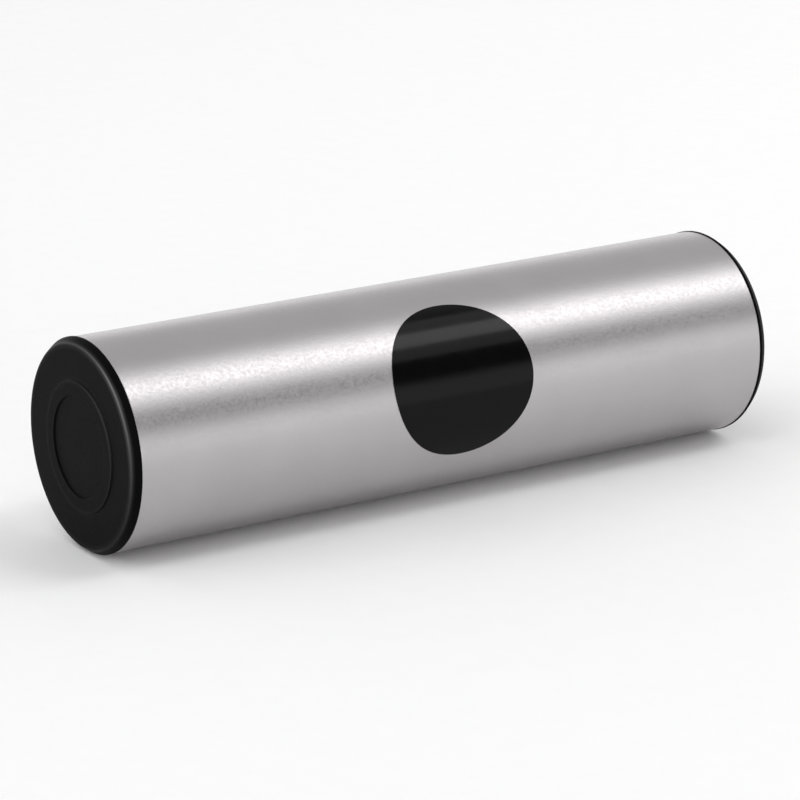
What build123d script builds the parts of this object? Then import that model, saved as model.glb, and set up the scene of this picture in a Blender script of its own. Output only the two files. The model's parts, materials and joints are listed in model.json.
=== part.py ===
from build123d import *
import os
from math import asin, cos, pi, radians, sin, sqrt

# A hand-held tube shaker: an aluminium tube closed by two moulded end caps, with loose steel shot
# inside. It lies along X on the surface that carries it, which is Z = 0, with its middle at X = 0.
# Lengths are in millimetres.

# Tube
tube_diameter = 60.0
tube_length = 208.0
tube_wall = 1.2
tube_edge_break = 0.2

# End caps, two alike: a bevelled flange with a raised ring on its face, and a hollow skirt that plugs
# the bore
flange_overhang = 0.2
flange_thickness = 2.7
flange_edge_band = 0.6
flange_bevel_width = 1.5
face_ring_diameter = 37.0
face_ring_width = 4.2
face_ring_height = 0.4
cap_edge_break = 0.2
cap_floor = 2.0
skirt_length = 9.0
skirt_wall = 2.0
skirt_gap = 0.4
skirt_lead_in = 0.8
skirt_root_bevel = 0.8

# Crush ribs along the skirt, which bridge its gap and grip the bore
crush_rib_count = 12
crush_rib_width = 1.6
crush_rib_setback = 2.0
crush_rib_clearance = 0.03

# Round sticker, wrapped on the front of the tube and turned up from the level
sticker_diameter = 46.4
sticker_thickness = 0.2
sticker_bond = 0.02
sticker_turn = radians(18.5)
sticker_outline_points = 20

# Loose shot, lying in rows along the bottom of the bore
shot_diameter = 5.0
shot_clearance = 0.3
shot_row_count = 9
row_shot_count = 12

# Sizes that follow from those
tube_radius = tube_diameter / 2
bore_radius = tube_radius - tube_wall
tube_end = tube_length / 2
flange_radius = tube_radius + flange_overhang
axis_height = flange_radius
cap_face = tube_end + flange_thickness
skirt_radius = bore_radius - skirt_gap
shot_radius = shot_diameter / 2
shot_pitch = shot_diameter + shot_clearance

# The section across the tube and the section along it, both with their middle on the tube's axis
axis_middle = (0, 0, axis_height)
tube_axis = Axis(axis_middle, (1, 0, 0))
across = Plane(origin=axis_middle, x_dir=(0, 1, 0), z_dir=(1, 0, 0))
along = Plane(origin=axis_middle, x_dir=(1, 0, 0), z_dir=(0, -1, 0))


def write_piece(piece, name):
    """Labels a finished piece and writes it to a file of its own."""
    piece.label = name
    export_step(piece, f"parts/{name}.step")


os.makedirs("parts", exist_ok=True)

# Tube: drawn aluminium, cut square, with the edges of both ends broken
with BuildPart() as tube_shell:
    with BuildSketch(across):
        Circle(tube_radius)
        Circle(bore_radius, mode=Mode.SUBTRACT)
    extrude(amount=tube_end, both=True)
    chamfer(tube_shell.edges().filter_by(GeomType.CIRCLE), tube_edge_break)
write_piece(tube_shell.part, "tube_shell")

# Right end cap: a turned outline, from the middle of its face round the flange and the skirt to the
# middle of its hollow. The flange seats on the tube's end, and the ribs on the skirt grip the bore.
ring_outside = face_ring_diameter / 2
ring_inside = ring_outside - face_ring_width
ring_top = cap_face + face_ring_height
bevel_inside = flange_radius - flange_bevel_width
cup_radius = skirt_radius - skirt_wall
cup_floor = cap_face - cap_floor
skirt_end = tube_end - skirt_length
cap_outline = [
    (cap_face, 0),
    (cap_face, ring_inside),
    (ring_top - cap_edge_break, ring_inside),
    (ring_top, ring_inside + cap_edge_break),
    (ring_top, ring_outside - cap_edge_break),
    (ring_top - cap_edge_break, ring_outside),
    (cap_face, ring_outside),
    (cap_face, bevel_inside - cap_edge_break),
    (cap_face - cap_edge_break, bevel_inside),
    (tube_end + flange_edge_band, flange_radius),
    (tube_end, flange_radius),
    (tube_end, skirt_radius),
    (skirt_end + skirt_lead_in, skirt_radius),
    (skirt_end, skirt_radius - skirt_lead_in),
    (skirt_end, cup_radius),
    (cup_floor - skirt_root_bevel, cup_radius),
    (cup_floor, cup_radius - skirt_root_bevel),
    (cup_floor, 0),
]
rib_root = skirt_radius - skirt_wall / 2
rib_tip = bore_radius - crush_rib_clearance
with BuildPart() as right_end_cap:
    with BuildSketch(along):
        with BuildLine():
            Polyline(cap_outline, close=True)
        make_face()
    revolve(axis=tube_axis)
    with BuildSketch(across.offset(tube_end)):
        with PolarLocations((rib_root + rib_tip) / 2, crush_rib_count):
            Rectangle(rib_tip - rib_root, crush_rib_width)
    extrude(amount=crush_rib_setback - skirt_length)
write_piece(right_end_cap.part, "right_end_cap")

# Left end cap: the same moulding at the other end
with BuildPart() as left_end_cap:
    mirror(right_end_cap.part, about=Plane.YZ)
write_piece(left_end_cap.part, "left_end_cap")

# Sticker: a round of thin film wrapped on the tube. Its outline is a circle on the unrolled tube, so
# across the tube each point lies at the sine of the arc that it wraps.
sticker_radius = sticker_diameter / 2
sticker_inside = tube_radius + sticker_bond
sticker_outline = []
for step in range(sticker_outline_points):
    turn = 2 * pi * step / sticker_outline_points
    wrapped = sticker_radius * sin(turn) / sticker_inside
    sticker_outline.append((sticker_radius * cos(turn), sticker_inside * sin(wrapped)))
sticker_normal = (0, -cos(sticker_turn), sin(sticker_turn))
sticker_facing = Plane(origin=axis_middle, x_dir=(1, 0, 0), z_dir=sticker_normal)
with BuildPart() as round_sticker:
    with BuildSketch(across):
        Circle(sticker_inside + sticker_thickness)
        Circle(sticker_inside, mode=Mode.SUBTRACT)
    extrude(amount=sticker_diameter, both=True)
    with BuildSketch(sticker_facing):
        with BuildLine():
            Spline(sticker_outline, periodic=True)
        make_face()
    extrude(amount=sticker_inside + sticker_diameter, mode=Mode.INTERSECT)
write_piece(round_sticker.part, "round_sticker")

# One shot: a ball drawn with 26 flat faces, as a block whose edges are cut back until every corner
# lies on the ball
shot_flat = shot_radius / sqrt(5 + 2 * sqrt(2))
shot_cut = shot_flat * sqrt(2)
shot_block = 2 * (shot_flat + shot_cut)
with BuildPart() as shot:
    Box(shot_block, shot_block, shot_block)
    chamfer(shot.edges(), shot_cut)

# Rows of shot side by side on the wall of the bore, in turn a full row and one with a shot less, so
# that the shot of each row lies beside the gaps of its neighbours
row_radius = bore_radius - shot_clearance - shot_radius
row_angle = 2 * asin(shot_pitch / 2 / row_radius)
for row in range(shot_row_count):
    angle = row_angle * (row - (shot_row_count - 1) / 2)
    with BuildPart() as shot_row:
        with Locations((0, row_radius * sin(angle), axis_height - row_radius * cos(angle))):
            with GridLocations(shot_pitch, shot_pitch, row_shot_count - row % 2, 1):
                add(shot.part)
    write_piece(shot_row.part, f"shot_row_{row + 1}")
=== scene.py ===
"""Dresses a hand-held tube shaker: a blasted aluminium tube, two moulded end caps, a round gloss
sticker and the loose steel shot inside, on a white floor under soft studio light.

Places are in metres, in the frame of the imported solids: the tube lies along X on the floor, Z = 0.
"""

import json
import logging
import math
from dataclasses import dataclass
from enum import Enum
from typing import Any, ClassVar

import bpy
import numpy as np
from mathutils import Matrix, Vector

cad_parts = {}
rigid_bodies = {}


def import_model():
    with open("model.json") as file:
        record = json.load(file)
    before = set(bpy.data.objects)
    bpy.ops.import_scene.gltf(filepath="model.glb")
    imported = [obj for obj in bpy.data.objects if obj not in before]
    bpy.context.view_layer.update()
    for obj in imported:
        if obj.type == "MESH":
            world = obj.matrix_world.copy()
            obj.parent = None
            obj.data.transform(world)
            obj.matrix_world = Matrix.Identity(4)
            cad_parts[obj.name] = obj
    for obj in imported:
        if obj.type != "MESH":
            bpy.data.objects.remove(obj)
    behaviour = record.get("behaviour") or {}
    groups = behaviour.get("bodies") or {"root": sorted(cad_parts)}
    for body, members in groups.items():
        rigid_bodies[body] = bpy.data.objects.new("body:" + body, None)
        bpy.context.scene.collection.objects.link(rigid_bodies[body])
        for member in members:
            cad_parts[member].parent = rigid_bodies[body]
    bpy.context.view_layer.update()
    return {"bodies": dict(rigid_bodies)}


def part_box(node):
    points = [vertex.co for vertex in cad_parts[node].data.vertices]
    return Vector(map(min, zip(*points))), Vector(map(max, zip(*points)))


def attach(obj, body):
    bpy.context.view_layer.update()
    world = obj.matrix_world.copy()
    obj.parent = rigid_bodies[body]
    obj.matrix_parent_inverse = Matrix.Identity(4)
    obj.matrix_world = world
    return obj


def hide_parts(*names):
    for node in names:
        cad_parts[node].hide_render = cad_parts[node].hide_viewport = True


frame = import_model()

MM = 0.001
SHARP_ANGLE = math.radians(40.0)
TINY = 1e-9
SHELL = "shell"
RUBBED = "rubbed"

# Nearly all of a noise lies between these two values
NOISE_LOW, NOISE_HIGH = 0.25, 0.75
# Octaves that each noise adds, and how strong each one of the grain is against the one before
NOISE_DETAIL = 2.0
GRAIN_SHARE = 0.6

log = logging.getLogger("shaker")


class End(Enum):
    """The two ends of the tube, each with the way along X that it faces."""

    LEFT = -1.0
    RIGHT = 1.0


class Slot(Enum):
    """The record's material slots."""

    TUBE = "tube_aluminium"
    CAP = "cap_plastic"
    STICKER = "sticker_vinyl"
    SHOT = "shot_steel"


# Colours and nodes


def linear(code: str) -> tuple[float, ...]:
    """Turns an sRGB hex colour into linear light.

    Args:
        code: colour as six hex digits after a hash sign.

    Returns:
        Linear red, green and blue, and an alpha of 1.
    """
    parts = np.array([int(code[start : start + 2], 16) for start in (1, 3, 5)]) / 255.0
    low = parts / 12.92
    high = ((parts + 0.055) / 1.055) ** 2.4
    return (*np.where(parts <= 0.04045, low, high).tolist(), 1.0)


def find_socket(sockets: bpy.types.bpy_prop_collection, name: str) -> bpy.types.NodeSocket:
    """Gives the first socket with that identifier or name."""
    return next(socket for socket in sockets if name in (socket.identifier, socket.name))


def add_node(
    tree: bpy.types.NodeTree,
    kind: str,
    settings: dict[str, Any] | None = None,
    links: dict[str, tuple[bpy.types.Node, str]] | None = None,
) -> bpy.types.Node:
    """Adds a node with its settings and links.

    Args:
        tree: node tree that gets the node.
        kind: Blender's name for the type of node.
        settings: values by name, for the node's own properties or else for its input sockets.
        links: for each linked input, the node that feeds it and the name of that node's output.

    Returns:
        The new node.
    """
    node = tree.nodes.new(kind)
    for name, value in (settings or {}).items():
        if hasattr(node, name):
            setattr(node, name, value)
        else:
            find_socket(node.inputs, name).default_value = value
    for name, (source, output) in (links or {}).items():
        tree.links.new(find_socket(source.outputs, output), find_socket(node.inputs, name))
    return node


# Finishes


@dataclass(frozen=True)
class Finish:
    """A surface whose colour drifts in clouds, and whose roughness and relief follow a finer grain."""

    label: str
    dark: str
    pale: str
    cloud: float
    grain: float
    grain_depth: float
    roughness: float
    roughness_spread: float
    metallic: float = 0.0
    specular: float = 0.5

    def material(self) -> bpy.types.Material:
        """Makes the material from two noises on Object coordinates.

        Returns:
            The material.
        """
        material = bpy.data.materials.new(self.label)
        material.use_nodes = True
        tree = material.node_tree
        tree.nodes.clear()
        place = add_node(tree, "ShaderNodeTexCoord")
        clouds = add_node(
            tree,
            "ShaderNodeTexNoise",
            {"Scale": 1.0 / self.cloud, "Detail": NOISE_DETAIL},
            {"Vector": (place, "Object")},
        )
        grain = add_node(
            tree,
            "ShaderNodeTexNoise",
            {"Scale": 1.0 / self.grain, "Detail": NOISE_DETAIL, "Roughness": GRAIN_SHARE},
            {"Vector": (place, "Object")},
        )
        colour = add_node(
            tree,
            "ShaderNodeMix",
            {"data_type": "RGBA", "A_Color": linear(self.dark), "B_Color": linear(self.pale)},
            {"Factor_Float": (clouds, "Fac")},
        )
        rough = add_node(
            tree,
            "ShaderNodeMapRange",
            {
                "From Min": NOISE_LOW,
                "From Max": NOISE_HIGH,
                "To Min": self.roughness - self.roughness_spread,
                "To Max": self.roughness + self.roughness_spread,
            },
            {"Value": (grain, "Fac")},
        )
        relief = add_node(
            tree, "ShaderNodeBump", {"Distance": self.grain_depth}, {"Height": (grain, "Fac")}
        )
        shader = add_node(
            tree,
            "ShaderNodeBsdfPrincipled",
            {"Metallic": self.metallic, "Specular IOR Level": self.specular},
            {
                "Base Color": (colour, "Result_Color"),
                "Roughness": (rough, "Result"),
                "Normal": (relief, "Normal"),
            },
        )
        self.add_wear(tree, shader)
        add_node(tree, "ShaderNodeOutputMaterial", links={"Surface": (shader, "BSDF")})
        return material

    def add_wear(self, tree: bpy.types.NodeTree, shader: bpy.types.Node) -> None:
        """Adds the marks of use, which only some finishes have."""


@dataclass(frozen=True)
class BlastedAluminium(Finish):
    """Drawn aluminium tube, bead blasted and clear anodised."""

    # Blasting leaves an even pitting that spreads each reflection into a soft band with a grainy edge.
    # Real pits are about 0.1 mm wide, and they are drawn coarser so that they show.
    label: str = "aluminium_blasted_anodised"
    dark: str = "#B0ADAE"
    pale: str = "#B8B5B6"
    cloud: float = 14.0 * MM
    grain: float = 0.85 * MM
    grain_depth: float = 0.013 * MM
    roughness: float = 0.38
    roughness_spread: float = 0.06
    metallic: float = 1.0


@dataclass(frozen=True)
class MouldedPlastic(Finish):
    """Black ABS, injection moulded in a spark-eroded tool."""

    # The tool's texture gives black plastic a low sheen that breaks up into fine speckle, and hands rub
    # its edges glossy. The texture is drawn coarser than the real 0.1 mm, and the rubbed gloss has a
    # higher index than plastic, so that they show.
    label: str = "abs_moulded_black"
    dark: str = "#050506"
    pale: str = "#0B0B0C"
    cloud: float = 6.0 * MM
    grain: float = 0.6 * MM
    grain_depth: float = 0.012 * MM
    roughness: float = 0.46
    roughness_spread: float = 0.08
    specular: float = 0.025
    rubbed_roughness: float = 0.3
    rubbed_index: float = 1.9

    def add_wear(self, tree: bpy.types.NodeTree, shader: bpy.types.Node) -> None:
        """Puts a gloss where the mesh says that the plastic is rubbed.

        Args:
            tree: node tree of the material.
            shader: its shader.
        """
        rubbed = add_node(tree, "ShaderNodeAttribute", {"attribute_name": RUBBED})
        tree.links.new(rubbed.outputs["Fac"], shader.inputs["Coat Weight"])
        shader.inputs["Coat Roughness"].default_value = self.rubbed_roughness
        shader.inputs["Coat IOR"].default_value = self.rubbed_index


@dataclass(frozen=True)
class GlossVinyl(Finish):
    """Black vinyl film, calendered to a gloss, as used for stickers."""

    # The film mirrors the lamps sharply, and a slight ripple where it lies on the tube bends the edges
    # of what it mirrors.
    label: str = "vinyl_film_gloss_black"
    dark: str = "#030303"
    pale: str = "#060606"
    cloud: float = 5.0 * MM
    grain: float = 5.0 * MM
    grain_depth: float = 0.006 * MM
    roughness: float = 0.14
    roughness_spread: float = 0.03
    specular: float = 0.13


@dataclass(frozen=True)
class GroundSteel(Finish):
    """Bearing steel, ground and polished to balls."""

    # Polished steel mirrors its surroundings, dulled in patches where the shot rubs together.
    label: str = "bearing_steel_ground"
    dark: str = "#A9AAAC"
    pale: str = "#C3C4C6"
    cloud: float = 2.0 * MM
    grain: float = 0.9 * MM
    grain_depth: float = 0.004 * MM
    roughness: float = 0.2
    roughness_spread: float = 0.05
    metallic: float = 1.0


@dataclass(frozen=True)
class PaperSweep(Finish):
    """White background paper, matt."""

    # Uncoated paper scatters light evenly, with a faint cloudiness of its fibres.
    label: str = "paper_matt_white"
    dark: str = "#F9F9F9"
    pale: str = "#FDFDFD"
    cloud: float = 8.0 * MM
    grain: float = 1.5 * MM
    grain_depth: float = 0.002 * MM
    roughness: float = 0.9
    roughness_spread: float = 0.05
    specular: float = 0.1


# Surfaces


@dataclass(frozen=True)
class Surface:
    """Points and faces of a closed piece, before they become a mesh."""

    points: np.ndarray
    quads: np.ndarray
    triangles: np.ndarray

    def volume(self) -> float:
        """Gives the enclosed volume, below zero where the faces point inwards.

        Each triangle adds a sixth of the product of its corners: a . (b x c).

        Returns:
            The volume in cubic metres.
        """
        halves = np.vstack([self.quads[:, [0, 1, 2]], self.quads[:, [0, 2, 3]], self.triangles])
        a, b, c = np.moveaxis(self.points[halves], 1, 0)
        return float(np.sum(a * np.cross(b, c)) / 6.0)

    def repeated(self, places: np.ndarray) -> "Surface":
        """Copies the surface to several places.

        Args:
            places: one offset in each row.

        Returns:
            One surface that holds all the copies.
        """
        shift = (np.arange(len(places)) * len(self.points))[:, None, None]
        return Surface(
            (places[:, None, :] + self.points[None, :, :]).reshape(-1, 3),
            (self.quads[None, :, :] + shift).reshape(-1, 4),
            (self.triangles[None, :, :] + shift).reshape(-1, 3),
        )

    def as_object(self, name: str) -> bpy.types.Object:
        """Makes a smooth-shaded mesh object whose faces point outwards.

        Args:
            name: name of the object and its mesh.

        Returns:
            The object, linked to the scene.
        """
        way = 1 if self.volume() >= 0.0 else -1
        faces = self.quads[:, ::way].tolist() + self.triangles[:, ::way].tolist()
        mesh = bpy.data.meshes.new(name)
        mesh.from_pydata(self.points.tolist(), [], faces)
        mesh.shade_smooth()
        mesh.set_sharp_from_angle(angle=SHARP_ANGLE)
        piece = bpy.data.objects.new(name, mesh)
        bpy.context.scene.collection.objects.link(piece)
        return piece


def grid_surface(points: np.ndarray, closed: bool) -> Surface:
    """Joins a grid of points whose columns run round and close on themselves.

    A row whose points all coincide is a pole: it keeps one point, and its faces are triangles.

    Args:
        points: grid of points, as rows by columns by 3.
        closed: whether the last row joins the first.

    Returns:
        The surface.
    """
    rows, columns = points.shape[:2]
    index = np.arange(rows * columns).reshape(rows, columns)
    pole = np.ptp(points, axis=1).max(axis=1) < TINY
    index[pole] = index[pole][:, :1]
    kept, index = np.unique(index, return_inverse=True)
    index = index.reshape(rows, columns)
    after = np.roll(index, -1, axis=0) if closed else index[1:]
    before = index if closed else index[:-1]
    corners = [before, np.roll(before, -1, axis=1), np.roll(after, -1, axis=1), after]
    quads = np.stack(corners, axis=-1).reshape(-1, 4)
    first = quads[:, 0] == quads[:, 1]
    last = quads[:, 2] == quads[:, 3]
    triangles = np.vstack([quads[first][:, 1:], quads[last][:, :3]])
    return Surface(points.reshape(-1, 3)[kept], quads[~(first | last)], triangles)


def turned_surface(
    along: np.ndarray, radius: np.ndarray, height: float, segments: int, closed: bool
) -> Surface:
    """Carries a profile round an axis that lies along X.

    At profile step i and turn a the point is (x_i, -r cos a, height + r sin a), where r is the
    radius of step i, or that of step i at turn a if the radius changes round the piece.

    Args:
        along: distance along X of each step of the profile.
        radius: radius of each step, or of each step and turn.
        height: height of the axis.
        segments: number of turns.
        closed: whether the profile is a loop.

    Returns:
        The surface.
    """
    turn = np.linspace(0.0, 2.0 * np.pi, segments, endpoint=False)
    shape = (len(along), segments)
    round_radius = np.broadcast_to(radius.reshape(len(along), -1), shape)
    places = [
        np.broadcast_to(along[:, None], shape),
        -round_radius * np.cos(turn),
        height + round_radius * np.sin(turn),
    ]
    return grid_surface(np.stack(places, axis=-1), closed)


def rounded_outline(corners: list[tuple[float, float, float]], closed: bool, steps: int = 6) -> np.ndarray:
    """Rounds the corners of an outline.

    Where two sides meet at an angle of 2 h, an arc of radius r leaves each side at r / tan h from the
    corner, about a centre at r / sin h along the line that halves the angle, and turns by pi - 2 h.

    Args:
        corners: two coordinates and the radius of each corner, where 0 leaves it sharp.
        closed: whether the last corner joins the first.
        steps: number of steps in each arc.

    Returns:
        The points of the outline, in order.
    """
    corner = np.array([entry[:2] for entry in corners])
    radius = np.array([entry[2] for entry in corners])[:, None]
    before, after = np.roll(corner, 1, axis=0), np.roll(corner, -1, axis=0)
    if not closed:
        before[0] = 2.0 * corner[0] - corner[1]
        after[-1] = 2.0 * corner[-1] - corner[-2]
    back = (before - corner) / np.linalg.norm(before - corner, axis=1, keepdims=True)
    on = (after - corner) / np.linalg.norm(after - corner, axis=1, keepdims=True)
    half = np.arccos(np.clip(np.sum(back * on, axis=1, keepdims=True), -1.0, 1.0)) / 2.0
    middle = (back + on) / np.maximum(np.linalg.norm(back + on, axis=1, keepdims=True), TINY)
    centre = corner + middle * radius / np.sin(half)
    spoke = corner + back * radius / np.tan(half) - centre
    side = np.sign(back[:, :1] * on[:, 1:] - back[:, 1:] * on[:, :1])
    turn = -side * (np.pi - 2.0 * half) * np.linspace(0.0, 1.0, steps + 1)
    x = centre[:, :1] + spoke[:, :1] * np.cos(turn) - spoke[:, 1:] * np.sin(turn)
    y = centre[:, 1:] + spoke[:, :1] * np.sin(turn) + spoke[:, 1:] * np.cos(turn)
    points = np.stack([x, y], axis=-1).reshape(-1, 2)
    gap = np.linalg.norm(np.diff(points, axis=0, append=points[:1]), axis=1)
    return points[gap > TINY] if closed else points[np.append(gap[:-1] > TINY, True)]


def divided_outline(outline: np.ndarray, longest: float, hold: float, closed: bool) -> np.ndarray:
    """Divides the long runs of an outline.

    Each run that is longer than 3 holds gets a point one hold from either end, which keeps the shading
    of the arcs beside it tight, and even steps between those two.

    Args:
        outline: points of the outline.
        longest: longest step.
        hold: distance of the first and the last step of a long run.
        closed: whether the last point joins the first.

    Returns:
        The points, with the new ones among them.
    """
    path = np.vstack([outline, outline[:1]]) if closed else outline
    stops = np.append(0.0, np.cumsum(np.linalg.norm(np.diff(path, axis=0), axis=1)))

    def run(start: float, end: float) -> np.ndarray:
        """Divides one run.

        Args:
            start: distance along the outline at which the run starts.
            end: distance at which it ends.

        Returns:
            The stops of the run, without its end.
        """
        if end - start <= 3.0 * hold:
            return np.array([start])
        count = math.ceil((end - start - 2.0 * hold) / longest) + 1
        return np.append(start, np.linspace(start + hold, end - hold, count + 1))

    new_stops = np.concatenate([run(start, end) for start, end in zip(stops[:-1], stops[1:])])
    if not closed:
        new_stops = np.append(new_stops, stops[-1])
    return np.stack([np.interp(new_stops, stops, path[:, axis]) for axis in (0, 1)], axis=-1)


def settle(
    piece: bpy.types.Object, material: bpy.types.Material, body: str, node: str
) -> None:
    """Dresses a finished piece and puts it in the place of its solid.

    Args:
        piece: the finished piece.
        material: its material.
        body: the body that it rides on.
        node: the solid that it stands for.
    """
    piece.data.materials.append(material)
    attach(piece, body)
    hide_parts(node)
    log.info("%s: %d points, %d faces", piece.name, len(piece.data.vertices), len(piece.data.polygons))


# Sub-assemblies


@dataclass(frozen=True)
class TubeShell:
    """The tube: a round wall with broken edges, open at both ends."""

    radius: float
    half_length: float
    height: float
    wall: float = 1.2 * MM
    edge_radius: float = 0.2 * MM
    segments: int = 288
    longest_step: float = 6.0 * MM
    hold: float = 0.15 * MM

    @classmethod
    def from_frame(cls) -> "TubeShell":
        """Takes the tube's size and place from its solid."""
        low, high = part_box("tube_shell")
        return cls((high.y - low.y) / 2.0, (high.x - low.x) / 2.0, (high.z + low.z) / 2.0)

    @property
    def bore(self) -> float:
        """Radius of the bore."""
        return self.radius - self.wall

    def build(self, material: bpy.types.Material) -> bpy.types.Object:
        """Builds the tube: a rounded rectangle, the section of the wall, carried round the axis.

        Args:
            material: material of the metal.

        Returns:
            The tube.
        """
        end, edge = self.half_length, self.edge_radius
        corners = [
            (-end, self.radius, edge),
            (end, self.radius, edge),
            (end, self.bore, edge),
            (-end, self.bore, edge),
        ]
        section = divided_outline(rounded_outline(corners, True), self.longest_step, self.hold, True)
        surface = turned_surface(section[:, 0], section[:, 1], self.height, self.segments, True)
        tube = surface.as_object("tube")
        settle(tube, material, SHELL, "tube_shell")
        return tube


@dataclass(frozen=True)
class EndCap:
    """One moulded end cap: a bevelled flange with a raised ring, and a ribbed skirt in the bore."""

    tube: TubeShell
    end: End
    flange_radius: float = 30.2 * MM
    flange_thickness: float = 2.7 * MM
    edge_band: float = 0.6 * MM
    bevel_width: float = 1.5 * MM
    face_edge_radius: float = 1.0 * MM
    rubbed_width: float = 0.5 * MM
    rubbed_turn: float = math.radians(38.0)
    rubbed_spread: float = math.radians(42.0)
    rubbed_least: float = 0.2
    rim_rubbed: float = 1.0
    ring_rubbed: float = 0.2
    rim_radius: float = 0.3 * MM
    rim_back_radius: float = 0.15 * MM
    ring_radius: float = 18.5 * MM
    ring_width: float = 4.2 * MM
    ring_height: float = 0.4 * MM
    ring_edge_radius: float = 0.18 * MM
    floor: float = 2.0 * MM
    skirt_length: float = 9.0 * MM
    skirt_wall: float = 2.0 * MM
    skirt_gap: float = 0.4 * MM
    lead_in: float = 0.8 * MM
    lead_in_radius: float = 0.4 * MM
    skirt_edge_radius: float = 0.2 * MM
    hollow_radius: float = 0.8 * MM
    rib_count: int = 12
    rib_width: float = 1.6 * MM
    rib_setback: float = 2.0 * MM
    rib_clearance: float = 0.03 * MM
    segments: int = 480
    longest_step: float = 1.5 * MM
    hold: float = 0.06 * MM

    def outline(self) -> np.ndarray:
        """Gives half the cap's section, from the middle of its face to the middle of its hollow.

        Returns:
            Distance out from the tube's end, and radius, of each point.
        """
        face, top = self.flange_thickness, self.flange_thickness + self.ring_height
        skirt = self.tube.bore - self.skirt_gap
        cup = skirt - self.skirt_wall
        deep = face - self.floor
        ring_edge = self.ring_edge_radius
        corners = [
            (face, 0.0, 0.0),
            (face, self.ring_radius - self.ring_width, ring_edge),
            (top, self.ring_radius - self.ring_width, ring_edge),
            (top, self.ring_radius, ring_edge),
            (face, self.ring_radius, ring_edge),
            (face, self.flange_radius - self.bevel_width, self.face_edge_radius),
            (self.edge_band, self.flange_radius, self.rim_radius),
            (0.0, self.flange_radius, self.rim_back_radius),
            (0.0, skirt, 0.0),
            (self.lead_in - self.skirt_length, skirt, self.lead_in_radius),
            (-self.skirt_length, skirt - self.lead_in, self.skirt_edge_radius),
            (-self.skirt_length, cup, self.skirt_edge_radius),
            (deep, cup, self.hollow_radius),
            (deep, 0.0, 0.0),
        ]
        return divided_outline(rounded_outline(corners, False), self.longest_step, self.hold, False)

    def swelling(self, out: np.ndarray, radius: np.ndarray) -> np.ndarray:
        """Gives the crush ribs: how far the skirt swells at each step of the section and each turn.

        Round the skirt a rib is exp(-(d / w)^6), at a distance d from its middle, with w half its width.

        Args:
            out: distance out from the tube's end of each step.
            radius: radius of each step.

        Returns:
            The swelling at each step and turn.
        """
        skirt = self.tube.bore - self.skirt_gap
        ribbed = (radius > skirt - TINY) & (out < -TINY) & (out > self.rib_setback - self.skirt_length)
        turn = np.linspace(0.0, 1.0, self.segments, endpoint=False) * self.rib_count
        pitch = 2.0 * np.pi * skirt / self.rib_count
        distance = np.abs(turn - np.round(turn)) * pitch
        rib = np.exp(-((distance / (self.rib_width / 2.0)) ** 6))
        return ribbed[:, None] * rib * (self.skirt_gap - self.rib_clearance)

    def rubbing(self, points: np.ndarray) -> np.ndarray:
        """Gives how far each point is rubbed glossy, at the edge of the face and that of the ring.

        At a distance d from an edge the share is s h exp(-(d / w)^2), where s is the most at the edge.
        Hands rub the upper front most: at t round from there, h is m + (1 - m) exp(-(t / q)^2), where m
        is the least.

        Args:
            points: points of the cap.

        Returns:
            A share from 0 to 1 for each point.
        """
        out = self.end.value * points[:, 0] - self.tube.half_length - self.flange_thickness
        radius = np.hypot(points[:, 1], points[:, 2] - self.tube.height)
        from_rim = np.hypot(out, radius - self.flange_radius + self.bevel_width)
        from_ring = np.hypot(out - self.ring_height, radius - self.ring_radius)
        rim = self.rim_rubbed * np.exp(-((from_rim / self.rubbed_width) ** 2))
        ring = self.ring_rubbed * np.exp(-((from_ring / self.rubbed_width) ** 2))
        turn = np.arctan2(points[:, 2] - self.tube.height, -points[:, 1]) - self.rubbed_turn
        held = np.exp(-((turn / self.rubbed_spread) ** 2))
        return np.maximum(rim, ring) * (self.rubbed_least + (1.0 - self.rubbed_least) * held)

    def build(self, material: bpy.types.Material) -> bpy.types.Object:
        """Builds the cap: its section carried round the axis, and swollen at the ribs.

        Args:
            material: material that both caps share.

        Returns:
            The cap.
        """
        side = self.end.name.lower()
        out, radius = self.outline().T
        along = self.end.value * (self.tube.half_length + out)
        swollen = radius[:, None] + self.swelling(out, radius)
        surface = turned_surface(along, swollen, self.tube.height, self.segments, False)
        cap = surface.as_object(f"{side}_cap")
        rubbed = cap.data.attributes.new(RUBBED, "FLOAT", "POINT")
        rubbed.data.foreach_set("value", self.rubbing(surface.points))
        settle(cap, material, SHELL, f"{side}_end_cap")
        return cap


@dataclass(frozen=True)
class RoundSticker:
    """The round sticker, wrapped on the front of the tube."""

    tube: TubeShell
    radius: float = 23.2 * MM
    thickness: float = 0.2 * MM
    bond: float = 0.02 * MM
    edge_radius: float = 0.1 * MM
    turned_up: float = math.radians(18.5)
    segments: int = 240
    longest_step: float = 1.0 * MM
    hold: float = 0.06 * MM

    def build(self, material: bpy.types.Material) -> bpy.types.Object:
        """Builds the sticker: a thin disc, with a rounded upper edge, rolled on to the tube.

        At distance d from the disc's middle and turn a, the point lies d cos a along the tube, and
        d sin a round it, which is an angle of d sin a over the radius of the disc's underside.

        Args:
            material: material of the film.

        Returns:
            The sticker.
        """
        inside = self.tube.radius + self.bond
        outside = inside + self.thickness
        corners = [
            (0.0, outside, 0.0),
            (self.radius, outside, self.edge_radius),
            (self.radius, inside, 0.0),
            (0.0, inside, 0.0),
        ]
        outline = divided_outline(rounded_outline(corners, False), self.longest_step, self.hold, False)
        away, lift = outline[:, :1], outline[:, 1:]
        turn = np.linspace(0.0, 2.0 * np.pi, self.segments, endpoint=False)
        angle = self.turned_up + away * np.sin(turn) / inside
        places = [away * np.cos(turn), -lift * np.cos(angle), self.tube.height + lift * np.sin(angle)]
        sticker = grid_surface(np.stack(places, axis=-1), False).as_object("sticker")
        settle(sticker, material, SHELL, "round_sticker")
        return sticker


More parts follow.
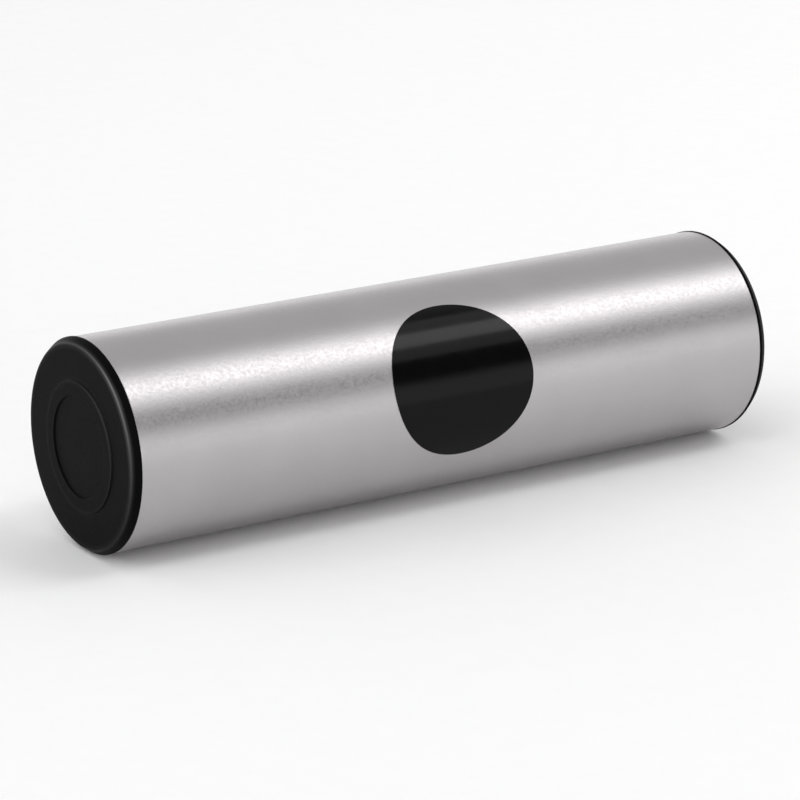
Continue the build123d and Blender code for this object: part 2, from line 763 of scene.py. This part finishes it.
@dataclass(frozen=True)
class ShotRow:
    """One row of loose shot, side by side along the tube."""

    prefix: ClassVar[str] = "shot_row_"

    body: str
    diameter: float = 5.0 * MM
    pitch: float = 5.3 * MM
    rings: int = 7
    segments: int = 10

    def build(self, material: bpy.types.Material) -> bpy.types.Object:
        """Builds the row: a ball of few faces, repeated along the row that the solids fill.

        A ball is a half circle carried round X: at angle t, x = -r cos t and the radius is r sin t.

        Args:
            material: material that all the shot shares.

        Returns:
            The row.
        """
        low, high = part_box(self.body)
        centre = np.array((low + high) / 2.0)
        count = round((high.x - low.x) / self.pitch)
        angle = np.linspace(0.0, np.pi, self.rings)
        radius = self.diameter / 2.0 * np.sin(angle)
        radius[[0, -1]] = 0.0
        ball = turned_surface(-self.diameter / 2.0 * np.cos(angle), radius, 0.0, self.segments, False)
        places = centre + np.outer((np.arange(count) - (count - 1) / 2.0) * self.pitch, (1.0, 0.0, 0.0))
        number = self.body.removeprefix(self.prefix)
        row = ball.repeated(places).as_object(f"shot_{number}")
        settle(row, material, self.body, self.body)
        return row


# Studio


@dataclass(frozen=True)
class Softbox:
    """An even rectangular lamp whose length lies level."""

    name: str
    radiance: float
    length: float
    width: float
    place: Vector
    facing: Vector

    def build(self) -> bpy.types.Object:
        """Builds the lamp. An even lamp of radiance L and area A gives pi L A watts.

        Returns:
            The lamp.
        """
        lamp = bpy.data.lights.new(self.name, "AREA")
        lamp.shape = "RECTANGLE"
        lamp.size, lamp.size_y = self.length, self.width
        lamp.energy = math.pi * self.radiance * self.length * self.width
        holder = bpy.data.objects.new(self.name, lamp)
        holder.location = self.place
        holder.rotation_mode = "QUATERNION"
        holder.rotation_quaternion = (self.place - self.facing).to_track_quat("Z", "Y")
        bpy.context.scene.collection.objects.link(holder)
        return holder


@dataclass(frozen=True)
class Studio:
    """A white floor, pale walls, a dim ceiling and soft lamps, with the camera of the photograph."""

    middle: Vector
    floor_radius: float = 6.0
    floor_drop: float = 0.02 * MM
    floor_rings: int = 12
    floor_turns: int = 64
    wall_light: float = 1.5
    left_ceiling_light: float = 0.9
    front_ceiling_light: float = 0.16
    back_ceiling_light: float = 0.72
    left_fade: tuple[float, float] = (-0.3, 0.2)
    front_fade: tuple[float, float] = (-0.3, 0.4)
    wall_top: float = math.radians(17.0)
    wall_blur: float = math.radians(5.0)
    strip_angle: float = math.radians(68.0)
    strip_distance: float = 2.5
    strip_length: float = 2.6
    strip_offset: float = 2.0
    strip_width: float = 0.7
    strip_light: float = 3.0
    left_strip_light: float = 1.5
    glow_distance: float = 2.6
    glow_width: float = 2.1
    glow_light: float = 1.2
    rim_way: tuple[float, float, float] = (-0.88, 0.28, 0.38)
    rim_distance: float = 2.0
    rim_size: float = 0.6
    rim_light: float = 2.5
    azimuth: float = math.radians(-32.985)
    elevation: float = math.radians(17.068)
    distance: float = 1081.06 * MM
    aim: tuple[float, float, float] = (-2.75 * MM, 0.3 * MM, 26.15 * MM)
    lens_mm: float = 169.89

    def build_floor(self, finish: Finish) -> bpy.types.Object:
        """Builds the floor: a flat disc, rings whose radius grows as a square by turns.

        Args:
            finish: finish of the floor.

        Returns:
            The floor.
        """
        radius = np.linspace(0.0, 1.0, self.floor_rings + 1)[:, None] ** 2 * self.floor_radius
        turn = np.linspace(0.0, 2.0 * np.pi, self.floor_turns, endpoint=False)
        level = np.full((self.floor_rings + 1, self.floor_turns), -self.floor_drop)
        places = np.stack([radius * np.cos(turn), radius * np.sin(turn), level], axis=-1)
        floor = grid_surface(places, False).as_object("floor")
        floor.data.materials.append(finish.material())
        return floor

    def build_world(self) -> bpy.types.World:
        """Builds the surroundings: pale walls all round, under a ceiling of three parts.

        The ceiling is pale on the left, dim at the front on the right and paler behind, and each part
        fades into the next by a smooth step on the direction's X, Y or Z.

        Returns:
            The world.
        """
        world = bpy.data.worlds.new("studio")
        world.use_nodes = True
        tree = world.node_tree
        tree.nodes.clear()
        way = add_node(tree, "ShaderNodeTexCoord")
        part = add_node(tree, "ShaderNodeSeparateXYZ", links={"Vector": (way, "Generated")})
        right = add_node(
            tree,
            "ShaderNodeMapRange",
            {
                "interpolation_type": "SMOOTHSTEP",
                "From Min": self.front_fade[0],
                "From Max": self.front_fade[1],
                "To Min": self.front_ceiling_light,
                "To Max": self.back_ceiling_light,
            },
            {"Value": (part, "Y")},
        )
        ceiling = add_node(
            tree,
            "ShaderNodeMapRange",
            {
                "interpolation_type": "SMOOTHSTEP",
                "From Min": self.left_fade[0],
                "From Max": self.left_fade[1],
                "To Min": self.left_ceiling_light,
            },
            {"Value": (part, "X"), "To Max": (right, "Result")},
        )
        light = add_node(
            tree,
            "ShaderNodeMapRange",
            {
                "interpolation_type": "SMOOTHSTEP",
                "From Min": math.sin(self.wall_top - self.wall_blur),
                "From Max": math.sin(self.wall_top + self.wall_blur),
                "To Min": self.wall_light,
            },
            {"Value": (part, "Z"), "To Max": (ceiling, "Result")},
        )
        sky = add_node(tree, "ShaderNodeBackground", links={"Color": (light, "Result")})
        add_node(tree, "ShaderNodeOutputWorld", links={"Surface": (sky, "Background")})
        bpy.context.scene.world = world
        return world

    def build_lamps(self) -> list[bpy.types.Object]:
        """Builds the lamps: strips over the front of the tube, a glow behind one, and a rim light.

        Returns:
            The lamps.
        """
        over = Vector((0.0, -math.cos(self.strip_angle), math.sin(self.strip_angle)))
        right = self.middle + Vector((self.strip_offset, 0.0, 0.0))
        left = self.middle - Vector((self.strip_offset, 0.0, 0.0))
        strip_size = (self.strip_length, self.strip_width)
        rim = self.middle + Vector(self.rim_way) * self.rim_distance
        lamps = [
            Softbox("strip", self.strip_light, *strip_size, right + over * self.strip_distance, right),
            Softbox(
                "left_strip", self.left_strip_light, *strip_size, left + over * self.strip_distance, left
            ),
            Softbox(
                "glow",
                self.glow_light,
                self.strip_length,
                self.glow_width,
                right + over * self.glow_distance,
                right,
            ),
            Softbox("rim", self.rim_light, self.rim_size, self.rim_size, rim, self.middle),
        ]
        return [lamp.build() for lamp in lamps]

    def build_camera(self) -> bpy.types.Object:
        """Builds the camera, level, at the photograph's angle and distance.

        Returns:
            The camera.
        """
        level = math.cos(self.elevation)
        back = Vector(
            (math.sin(self.azimuth) * level, -math.cos(self.azimuth) * level, math.sin(self.elevation))
        )
        camera = bpy.data.objects.new("camera", bpy.data.cameras.new("camera"))
        camera.data.lens = self.lens_mm
        camera.location = Vector(self.aim) + back * self.distance
        camera.rotation_mode = "QUATERNION"
        camera.rotation_quaternion = back.to_track_quat("Z", "Y")
        bpy.context.scene.collection.objects.link(camera)
        bpy.context.scene.camera = camera
        return camera


def main() -> None:
    """Builds the pieces, the studio and the camera."""
    logging.basicConfig(level=logging.INFO, format="%(name)s: %(message)s")
    tube = TubeShell.from_frame()
    tube.build(BlastedAluminium().material())
    plastic = MouldedPlastic().material()
    for end in End:
        EndCap(tube, end).build(plastic)
    RoundSticker(tube).build(GlossVinyl().material())
    steel = GroundSteel().material()
    for body in frame["bodies"]:
        if body.startswith(ShotRow.prefix):
            ShotRow(body).build(steel)

    studio = Studio(Vector((0.0, 0.0, tube.height)))
    studio.build_camera()
    studio.build_floor(PaperSweep())
    studio.build_world()
    studio.build_lamps()
    bpy.context.scene.view_settings.view_transform = "Standard"


if __name__ == "__main__":
    main()
